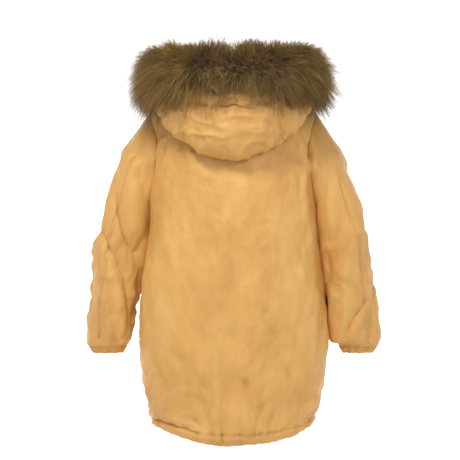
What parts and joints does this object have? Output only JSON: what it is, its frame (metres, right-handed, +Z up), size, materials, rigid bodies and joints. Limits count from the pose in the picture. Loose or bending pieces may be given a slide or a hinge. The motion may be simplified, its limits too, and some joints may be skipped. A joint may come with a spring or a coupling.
{
  "type": "hooded parka",
  "caption": "Hip-length padded hooded parka with a fur-trimmed hood, two-way front zip, patch pockets and elastic cuffs, hung by its neck loop.",
  "frame": {"origin": "the point inside the neck loop, at the back of the neck, where a hook carries the coat", "axes": "+Z up; the coat's front faces -Y and its back faces +Y; +X is the wearer's left"},
  "size_m": [0.7392, 0.3867, 0.9905],
  "materials": {
    "back_panel": "satin-faced nylon, lightly padded",
    "cuff_elastic_left": "woven",
    "cuff_elastic_right": "woven",
    "cuff_left": "satin-faced nylon, lightly padded",
    "cuff_right": "satin-faced nylon, lightly padded",
    "front_panel_left": "satin-faced nylon, lightly padded",
    "front_panel_right": "satin-faced nylon, lightly padded",
    "fur_tape": "woven tape",
    "fur_trim": "long faux fur, brown with dark tips",
    "hanger_loop": "woven",
    "hem_band_back": "satin-faced nylon, lightly padded",
    "hem_band_left": "satin-faced nylon, lightly padded",
    "hem_band_right": "satin-faced nylon, lightly padded",
    "hem_elastic": "woven",
    "hood_back_leg": "satin-faced nylon, lightly padded",
    "hood_brim_band": "satin-faced nylon, lightly padded",
    "hood_centre_panel": "satin-faced nylon, lightly padded",
    "hood_lining": "smooth taffeta",
    "hood_side_left": "satin-faced nylon, lightly padded",
    "hood_side_right": "satin-faced nylon, lightly padded",
    "lapel_facing_left": "satin-faced nylon, lightly padded",
    "lapel_facing_right": "satin-faced nylon, lightly padded",
    "lapel_left": "satin-faced nylon, lightly padded",
    "lapel_right": "satin-faced nylon, lightly padded",
    "lining_back": "smooth taffeta",
    "lining_front_left": "smooth taffeta",
    "lining_front_right": "smooth taffeta",
    "neck_label": "woven",
    "pocket_flap_left": "satin-faced nylon, lightly padded",
    "pocket_flap_right": "satin-faced nylon, lightly padded",
    "pocket_left": "satin-faced nylon, lightly padded",
    "pocket_right": "satin-faced nylon, lightly padded",
    "skirt_facing_left": "satin-faced nylon, lightly padded",
    "skirt_facing_right": "satin-faced nylon, lightly padded",
    "skirt_left": "satin-faced nylon, lightly padded",
    "skirt_right": "satin-faced nylon, lightly padded",
    "sleeve_lower_left": "satin-faced nylon, lightly padded",
    "sleeve_lower_lining_left": "smooth taffeta",
    "sleeve_lower_lining_right": "smooth taffeta",
    "sleeve_lower_right": "satin-faced nylon, lightly padded",
    "sleeve_upper_left": "satin-faced nylon, lightly padded",
    "sleeve_upper_lining_left": "smooth taffeta",
    "sleeve_upper_lining_right": "smooth taffeta",
    "sleeve_upper_right": "satin-faced nylon, lightly padded",
    "snap_cap_left": "antique",
    "snap_cap_right": "antique",
    "snap_stud_left": "antique",
    "snap_stud_right": "antique",
    "zip_lower_left": "teeth on woven tape",
    "zip_lower_right": "teeth on woven tape",
    "zip_middle_left": "teeth on woven tape",
    "zip_middle_right": "teeth on woven tape",
    "zip_pull_lower": "antique",
    "zip_pull_upper": "antique",
    "zip_slider_lower": "antique",
    "zip_slider_upper": "antique",
    "zip_upper_left": "teeth on woven tape",
    "zip_upper_right": "teeth on woven tape"
  },
  "bodies": {
    "trunk": {"back_panel": "back_panel", "lining_back": "lining_back", "hem_band_back": "hem_band_back", "hem_elastic": "hem_elastic", "front_panel_left": "front_panel_left", "front_panel_right": "front_panel_right", "lining_front_left": "lining_front_left", "lining_front_right": "lining_front_right", "hood_back_leg": "hood_back_leg", "zip_middle_left": "zip_middle_left", "zip_middle_right": "zip_middle_right", "pocket_left": "pocket_left", "pocket_right": "pocket_right", "snap_stud_left": "snap_stud_left", "snap_stud_right": "snap_stud_right", "hanger_loop": "hanger_loop", "neck_label": "neck_label"},
    "hood": {"hood_centre_panel": "hood_centre_panel", "hood_side_left": "hood_side_left", "hood_side_right": "hood_side_right", "hood_lining": "hood_lining", "hood_brim_band": "hood_brim_band", "fur_trim": "fur_trim", "fur_tape": "fur_tape"},
    "slider_upper": {"zip_slider_upper": "zip_slider_upper"},
    "pull_upper": {"zip_pull_upper": "zip_pull_upper"},
    "slider_lower": {"zip_slider_lower": "zip_slider_lower"},
    "pull_lower": {"zip_pull_lower": "zip_pull_lower"},
    "lapel_left": {"lapel_left": "lapel_left", "lapel_facing_left": "lapel_facing_left", "zip_upper_left": "zip_upper_left"},
    "skirt_left": {"skirt_left": "skirt_left", "skirt_facing_left": "skirt_facing_left", "hem_band_left": "hem_band_left", "zip_lower_left": "zip_lower_left"},
    "sleeve_left": {"sleeve_upper_left": "sleeve_upper_left", "sleeve_upper_lining_left": "sleeve_upper_lining_left"},
    "forearm_left": {"sleeve_lower_left": "sleeve_lower_left", "sleeve_lower_lining_left": "sleeve_lower_lining_left", "cuff_left": "cuff_left", "cuff_elastic_left": "cuff_elastic_left"},
    "flap_left": {"pocket_flap_left": "pocket_flap_left", "snap_cap_left": "snap_cap_left"},
    "lapel_right": {"lapel_right": "lapel_right", "lapel_facing_right": "lapel_facing_right", "zip_upper_right": "zip_upper_right"},
    "skirt_right": {"skirt_right": "skirt_right", "skirt_facing_right": "skirt_facing_right", "hem_band_right": "hem_band_right", "zip_lower_right": "zip_lower_right"},
    "sleeve_right": {"sleeve_upper_right": "sleeve_upper_right", "sleeve_upper_lining_right": "sleeve_upper_lining_right"},
    "forearm_right": {"sleeve_lower_right": "sleeve_lower_right", "sleeve_lower_lining_right": "sleeve_lower_lining_right", "cuff_right": "cuff_right", "cuff_elastic_right": "cuff_elastic_right"},
    "flap_right": {"pocket_flap_right": "pocket_flap_right", "snap_cap_right": "snap_cap_right"}
  },
  "joints": [
    {"name": "left_sleeve_lift", "type": "hinge", "parent": "trunk", "child": "sleeve_left", "pos_m": [0.2015, -0.064, -0.022], "axis": [0, -1, 0], "range_deg": [0, 70]},
    {"name": "left_elbow_bend", "type": "hinge", "parent": "sleeve_left", "child": "forearm_left", "pos_m": [0.2935, -0.145, -0.4455], "axis": [-1, 0, 0], "range_deg": [0, 80]},
    {"name": "left_lapel_fold", "type": "hinge", "parent": "trunk", "child": "lapel_left", "pos_m": [0.045, -0.133, -0.054], "axis": [0.1519, 0.2548, 0.955], "range_deg": [0, 85], "deforming": ["zip_upper_left"]},
    {"name": "left_front_open", "type": "hinge", "parent": "trunk", "child": "skirt_left", "pos_m": [0, -0.214, -0.365], "axis": [-0.3722, -0.0926, 0.9235], "range_deg": [0, 60], "deforming": ["zip_lower_left"]},
    {"name": "left_flap_lift", "type": "hinge", "parent": "trunk", "child": "flap_left", "pos_m": [0.143, -0.208, -0.395], "axis": [-1, 0, 0], "range_deg": [0, 110]},
    {"name": "right_sleeve_lift", "type": "hinge", "parent": "trunk", "child": "sleeve_right", "pos_m": [-0.2015, -0.064, -0.022], "axis": [0, 1, 0], "range_deg": [0, 70]},
    {"name": "right_elbow_bend", "type": "hinge", "parent": "sleeve_right", "child": "forearm_right", "pos_m": [-0.2935, -0.145, -0.4455], "axis": [-1, 0, 0], "range_deg": [0, 80]},
    {"name": "right_lapel_fold", "type": "hinge", "parent": "trunk", "child": "lapel_right", "pos_m": [-0.045, -0.133, -0.054], "axis": [0.1519, -0.2548, -0.955], "range_deg": [0, 85], "deforming": ["zip_upper_right"]},
    {"name": "right_front_open", "type": "hinge", "parent": "trunk", "child": "skirt_right", "pos_m": [0, -0.214, -0.365], "axis": [-0.3722, 0.0926, -0.9235], "range_deg": [0, 60], "deforming": ["zip_lower_right"]},
    {"name": "right_flap_lift", "type": "hinge", "parent": "trunk", "child": "flap_right", "pos_m": [-0.143, -0.208, -0.395], "axis": [-1, 0, 0], "range_deg": [0, 110]},
    {"name": "hood_raise", "type": "hinge", "parent": "trunk", "child": "hood", "pos_m": [0, -0.134, -0.062], "axis": [1, 0, 0], "range_deg": [0, 95]},
    {"name": "zip_open_upper", "type": "slide", "parent": "trunk", "child": "slider_upper", "axis": [0, -0.2425, -0.9701], "range_m": [0, 0.235]},
    {"name": "zip_pull_upper_swing", "type": "hinge", "parent": "slider_upper", "child": "pull_upper", "pos_m": [0, -0.1506, -0.0997], "axis": [-1, 0, 0], "range_deg": [0, 150]},
    {"name": "zip_open_lower", "type": "slide", "parent": "trunk", "child": "slider_lower", "axis": [0, -0.0453, 0.999], "range_m": [0, 0.43]},
    {"name": "zip_pull_lower_swing", "type": "hinge", "parent": "slider_lower", "child": "pull_lower", "pos_m": [0, -0.1902, -0.8202], "axis": [-1, 0, 0], "range_deg": [0, 150]}
  ]
}
